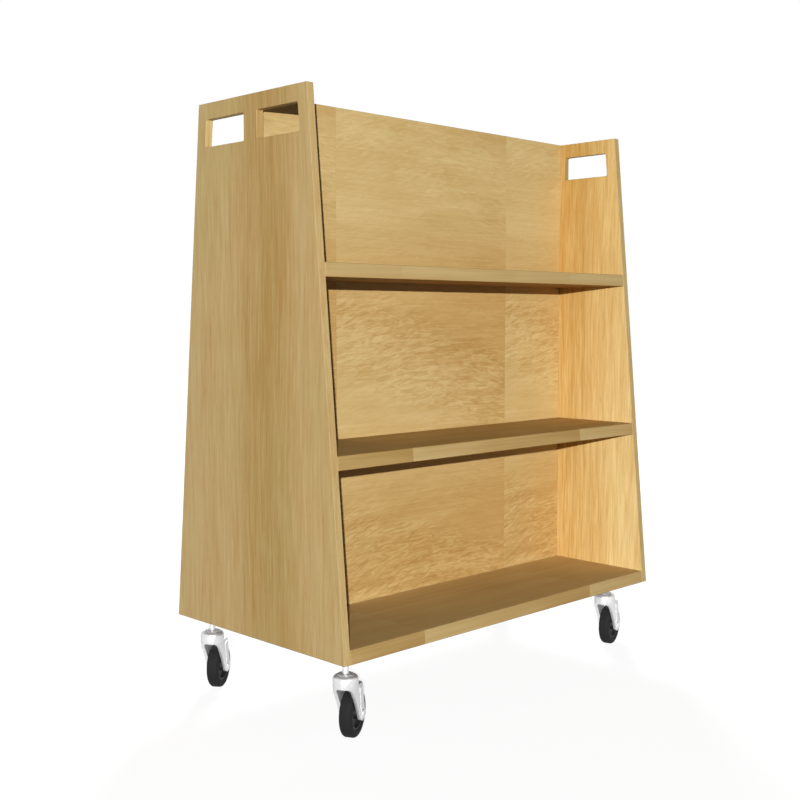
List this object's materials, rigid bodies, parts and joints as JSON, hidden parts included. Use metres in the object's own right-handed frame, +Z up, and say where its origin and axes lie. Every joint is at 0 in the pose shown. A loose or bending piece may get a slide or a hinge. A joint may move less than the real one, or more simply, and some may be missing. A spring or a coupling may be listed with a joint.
{
  "type": "book trolley",
  "caption": "Double-sided wooden book trolley with sloping end panels, hand holes, a central divider and flat shelves, on swivel casters.",
  "frame": {"origin": "on the floor, under the middle of the wooden body", "axes": "+X along the trolley to its right end, -Y to its front, +Z up"},
  "size_m": [0.9297, 0.4912, 1.1311],
  "materials": {
    "end_panel_veneer": "clear satin lacquer on straight-grained pale oak veneer",
    "divider_veneer": "clear satin lacquer on figured pale oak veneer",
    "shelf_veneer": "clear satin lacquer on pale oak veneer",
    "dowel_beech": "raw beech",
    "insert_plating": "yellow plated",
    "caster_zinc": "bright zinc plated",
    "bush_steel": "dark oiled",
    "hub_plastic": "moulded",
    "tyre_rubber": "matt moulded"
  },
  "bodies": {
    "frame": {"left_end_panel": "end_panel_veneer", "right_end_panel": "end_panel_veneer", "divider_panel": "divider_veneer", "base_shelf": "shelf_veneer", "front_middle_shelf": "shelf_veneer", "rear_middle_shelf": "shelf_veneer", "front_top_shelf": "shelf_veneer", "rear_top_shelf": "shelf_veneer", "base_shelf_left_front_dowel": "dowel_beech", "base_shelf_left_rear_dowel": "dowel_beech", "base_shelf_right_front_dowel": "dowel_beech", "base_shelf_right_rear_dowel": "dowel_beech", "divider_panel_left_lower_dowel": "dowel_beech", "divider_panel_left_upper_dowel": "dowel_beech", "divider_panel_right_lower_dowel": "dowel_beech", "divider_panel_right_upper_dowel": "dowel_beech", "front_middle_shelf_left_inner_dowel": "dowel_beech", "front_middle_shelf_left_outer_dowel": "dowel_beech", "front_middle_shelf_right_inner_dowel": "dowel_beech", "front_middle_shelf_right_outer_dowel": "dowel_beech", "rear_middle_shelf_left_inner_dowel": "dowel_beech", "rear_middle_shelf_left_outer_dowel": "dowel_beech", "rear_middle_shelf_right_inner_dowel": "dowel_beech", "rear_middle_shelf_right_outer_dowel": "dowel_beech", "front_top_shelf_left_inner_dowel": "dowel_beech", "front_top_shelf_left_outer_dowel": "dowel_beech", "front_top_shelf_right_inner_dowel": "dowel_beech", "front_top_shelf_right_outer_dowel": "dowel_beech", "rear_top_shelf_left_inner_dowel": "dowel_beech", "rear_top_shelf_left_outer_dowel": "dowel_beech", "rear_top_shelf_right_inner_dowel": "dowel_beech", "rear_top_shelf_right_outer_dowel": "dowel_beech", "front_left_stem_insert": "insert_plating", "front_left_caster_stem": "caster_zinc", "rear_left_stem_insert": "insert_plating", "rear_left_caster_stem": "caster_zinc", "front_right_stem_insert": "insert_plating", "front_right_caster_stem": "caster_zinc", "rear_right_stem_insert": "insert_plating", "rear_right_caster_stem": "caster_zinc"},
    "front_left_swivel": {"front_left_swivel_bush": "bush_steel", "front_left_caster_fork": "caster_zinc", "front_left_wheel_axle": "caster_zinc"},
    "front_left_wheel": {"front_left_wheel_hub": "hub_plastic", "front_left_tyre": "tyre_rubber"},
    "rear_left_swivel": {"rear_left_swivel_bush": "bush_steel", "rear_left_caster_fork": "caster_zinc", "rear_left_wheel_axle": "caster_zinc"},
    "rear_left_wheel": {"rear_left_wheel_hub": "hub_plastic", "rear_left_tyre": "tyre_rubber"},
    "front_right_swivel": {"front_right_swivel_bush": "bush_steel", "front_right_caster_fork": "caster_zinc", "front_right_wheel_axle": "caster_zinc"},
    "front_right_wheel": {"front_right_wheel_hub": "hub_plastic", "front_right_tyre": "tyre_rubber"},
    "rear_right_swivel": {"rear_right_swivel_bush": "bush_steel", "rear_right_caster_fork": "caster_zinc", "rear_right_wheel_axle": "caster_zinc"},
    "rear_right_wheel": {"rear_right_wheel_hub": "hub_plastic", "rear_right_tyre": "tyre_rubber"}
  },
  "joints": [
    {"name": "front_left_swivel_turn", "type": "hinge", "parent": "frame", "child": "front_left_swivel", "pos_m": [-0.404, -0.196, 0.1], "axis": [0, 0, 1], "continuous": true},
    {"name": "front_left_wheel_spin", "type": "hinge", "parent": "front_left_swivel", "child": "front_left_wheel", "pos_m": [-0.37398, -0.18004, 0.04313], "axis": [0.4695, -0.8829, 0], "continuous": true},
    {"name": "rear_left_swivel_turn", "type": "hinge", "parent": "frame", "child": "rear_left_swivel", "pos_m": [-0.404, 0.196, 0.1], "axis": [0, 0, 1], "continuous": true},
    {"name": "rear_left_wheel_spin", "type": "hinge", "parent": "rear_left_swivel", "child": "rear_left_wheel", "pos_m": [-0.37615, 0.2155, 0.04313], "axis": [0.5736, -0.8192, 0], "continuous": true},
    {"name": "front_right_swivel_turn", "type": "hinge", "parent": "frame", "child": "front_right_swivel", "pos_m": [0.404, -0.166, 0.1], "axis": [0, 0, 1], "continuous": true},
    {"name": "front_right_wheel_spin", "type": "hinge", "parent": "front_right_swivel", "child": "front_right_wheel", "pos_m": [0.43668, -0.15663, 0.04313], "axis": [0.2756, -0.9613, 0], "continuous": true},
    {"name": "rear_right_swivel_turn", "type": "hinge", "parent": "frame", "child": "rear_right_swivel", "pos_m": [0.404, 0.166, 0.1], "axis": [0, 0, 1], "continuous": true},
    {"name": "rear_right_wheel_spin", "type": "hinge", "parent": "rear_right_swivel", "child": "rear_right_wheel", "pos_m": [0.4353, 0.17928, 0.04313], "axis": [0.3907, -0.9205, 0], "continuous": true}
  ]
}
